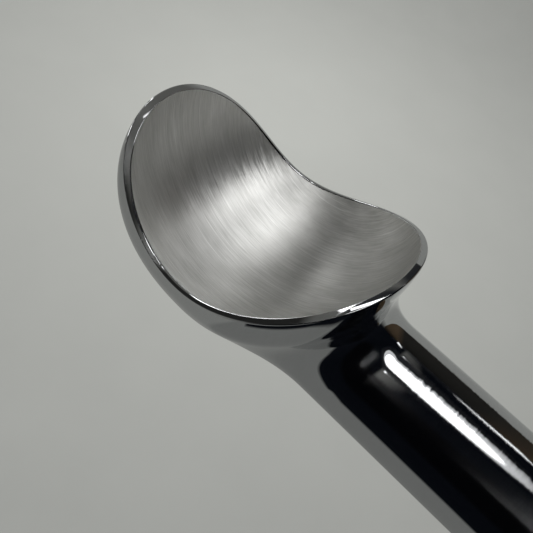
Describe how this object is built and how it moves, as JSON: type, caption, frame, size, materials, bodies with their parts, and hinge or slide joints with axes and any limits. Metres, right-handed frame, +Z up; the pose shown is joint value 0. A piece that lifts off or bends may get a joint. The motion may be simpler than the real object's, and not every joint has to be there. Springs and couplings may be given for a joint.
{
  "type": "ice cream scoop",
  "caption": "Rigid ice cream scoop: deep bowl with a saddle-shaped lip, short neck and a thick round hollow handle holding a sealed heat-carrying liquid.",
  "frame": {"origin": "middle of the butt face, on the handle's axis", "axes": "+X along the handle towards the bowl's tip, +Z up out of the open bowl, symmetric about Y = 0"},
  "size_m": [0.1846, 0.0536, 0.0459],
  "materials": {
    "polished_casting": "mirror polished outside, brushed inside the bowl",
    "liquid": "clear tinted liquid",
    "plug_brass": "turned",
    "seal_rubber": "matte",
    "screw_steel": "turned",
    "washer_nylon": "matte",
    "cap_plastic": "fine matte"
  },
  "bodies": {
    "root": {"scoop_body": "polished_casting", "heat_fluid": "liquid", "end_plug": "plug_brass", "plug_o_ring": "seal_rubber", "fill_screw": "screw_steel", "fill_washer": "washer_nylon", "end_cap": "cap_plastic"}
  },
  "joints": []
}
